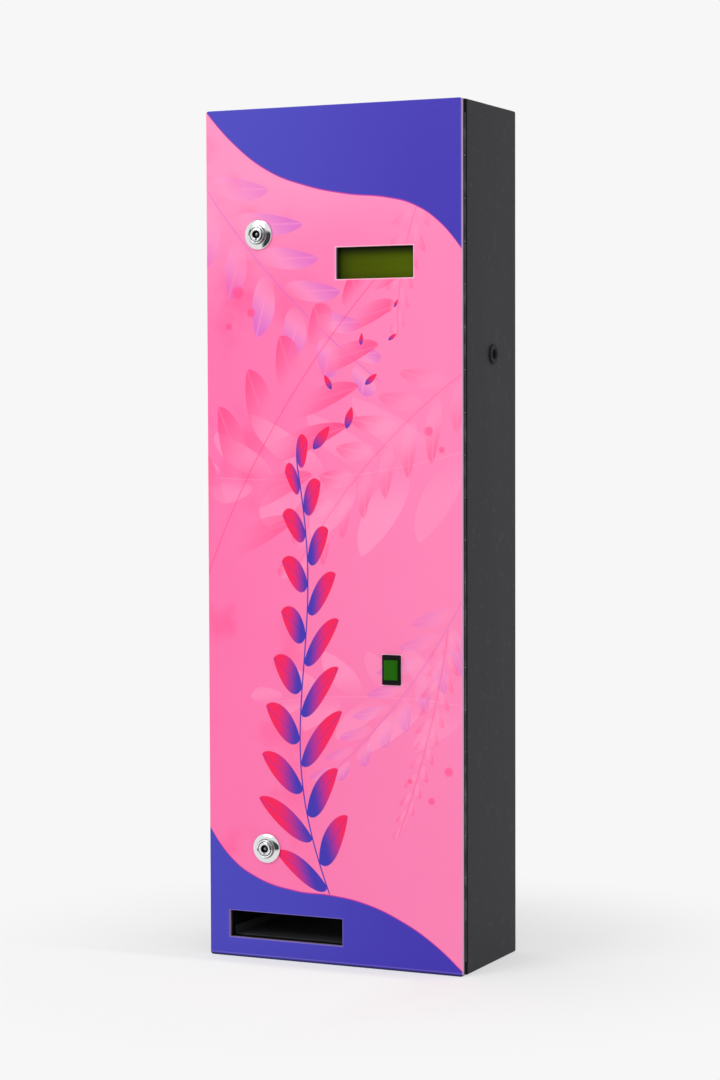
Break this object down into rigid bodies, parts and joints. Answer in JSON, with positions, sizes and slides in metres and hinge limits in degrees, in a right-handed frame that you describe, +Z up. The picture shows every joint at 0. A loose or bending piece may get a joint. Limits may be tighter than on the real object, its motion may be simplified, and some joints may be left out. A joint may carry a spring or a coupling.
{
  "type": "sanitary napkin vending machine",
  "caption": "Slim wall-mounted pad dispenser: folded steel cabinet, hinged printed door with display, button and cam locks, gravity magazine and rack-driven ejector behind a low slot.",
  "frame": {"origin": "middle of the bottom of the machine's box, on the surface it stands on", "axes": "+X to the right seen from the front, +Y back towards the wall, +Z up; the fascia faces -Y"},
  "size_m": [0.2471, 0.1276, 0.75],
  "materials": {
    "fascia_print": "satin printed sheet, pink field with violet header and footer waves",
    "cabinet_paint": "fine-texture dark grey powder coat",
    "black_plastic": "moulded, satin",
    "button_green": "moulded, gloss",
    "display_green": "liquid crystal cell, unlit",
    "lock_chrome": "polished",
    "zinc_steel": "zinc-plated sheet",
    "spring_steel": "bright drawn steel",
    "brass": "turned",
    "grommet_rubber": "matte black",
    "acetal": "natural white",
    "board_green": "solder mask",
    "connector_green": "moulded",
    "relay_blue": "moulded"
  },
  "bodies": {
    "cabinet": {"cabinet_shell": "cabinet_paint", "cabinet_frame": "cabinet_paint", "cable_grommet": "grommet_rubber", "hinge_leaf_cabinet": "cabinet_paint", "hinge_pin": "spring_steel", "magazine_channel": "zinc_steel", "lower_magazine_bracket": "zinc_steel", "upper_magazine_bracket": "zinc_steel", "dispense_tray": "cabinet_paint", "front_tray_riser": "zinc_steel", "rear_tray_riser": "zinc_steel", "delivery_chute": "black_plastic", "rack_guide": "zinc_steel", "motor_bracket": "zinc_steel", "gearbox": "zinc_steel", "motor_can": "spring_steel", "motor_end_cap": "black_plastic", "front_limit_switch": "black_plastic", "rear_limit_switch": "black_plastic", "power_supply_case": "zinc_steel", "power_supply_terminals": "black_plastic", "mains_terminals": "black_plastic", "board_plate": "zinc_steel", "control_board": "board_green", "motor_relay": "relay_blue", "reverse_relay": "relay_blue", "control_chip": "black_plastic", "supply_capacitor": "black_plastic", "wiring_connector": "connector_green"},
    "door": {"fascia_panel": "fascia_print", "door_panel": "cabinet_paint", "door_frame": "cabinet_paint", "hinge_leaf_door": "cabinet_paint", "slot_liner": "black_plastic", "display_frame": "black_plastic", "display_glass": "display_green", "display_backlight": "acetal", "display_board": "board_green", "upper_lock_body": "lock_chrome", "upper_lock_nut": "zinc_steel", "lower_lock_body": "lock_chrome", "lower_lock_nut": "zinc_steel", "button_housing": "black_plastic", "button_spring": "spring_steel", "button_contacts": "black_plastic"},
    "upper_lock": {"upper_lock_plug": "lock_chrome", "upper_lock_cam": "zinc_steel", "upper_lock_cam_nut": "brass"},
    "lower_lock": {"lower_lock_plug": "lock_chrome", "lower_lock_cam": "zinc_steel", "lower_lock_cam_nut": "brass"},
    "button": {"button_cap": "button_green"},
    "pusher": {"pusher_plate": "zinc_steel", "eject_rack": "acetal"},
    "pinion": {"drive_pinion": "acetal", "drive_shaft": "spring_steel"},
    "follower": {"follower_plate": "zinc_steel", "follower_weight": "spring_steel"}
  },
  "joints": [
    {"name": "door_hinge", "type": "hinge", "parent": "cabinet", "child": "door", "pos_m": [0.1201, -0.0534, 0.375], "axis": [0, 0, 1], "range_deg": [0, 105]},
    {"name": "upper_lock_turn", "type": "hinge", "parent": "door", "child": "upper_lock", "pos_m": [-0.0708, -0.061, 0.64], "axis": [0, -1, 0], "range_deg": [0, 90]},
    {"name": "lower_lock_turn", "type": "hinge", "parent": "door", "child": "lower_lock", "pos_m": [-0.0654, -0.061, 0.099], "axis": [0, -1, 0], "range_deg": [0, 90]},
    {"name": "button_press", "type": "slide", "parent": "door", "child": "button", "axis": [0, 1, 0], "range_m": [0, 0.0025], "stiffness_N_per_m": 400, "springref_m": -0.001, "deforming": ["button_spring"]},
    {"name": "pusher_slide", "type": "slide", "parent": "cabinet", "child": "pusher", "axis": [0, -1, 0], "range_m": [0, 0.048]},
    {"name": "pinion_spin", "type": "hinge", "parent": "cabinet", "child": "pinion", "pos_m": [0.0147, 0.0034, 0.04587], "axis": [-1, 0, 0], "range_deg": [0, 229.3]},
    {"name": "follower_slide", "type": "slide", "parent": "cabinet", "child": "follower", "axis": [0, 0, 1], "range_m": [0, 0.62]}
  ],
  "couplings": [
    {"joint": "pinion_spin", "follows": "pusher_slide", "rad_per_m": 83.333}
  ]
}
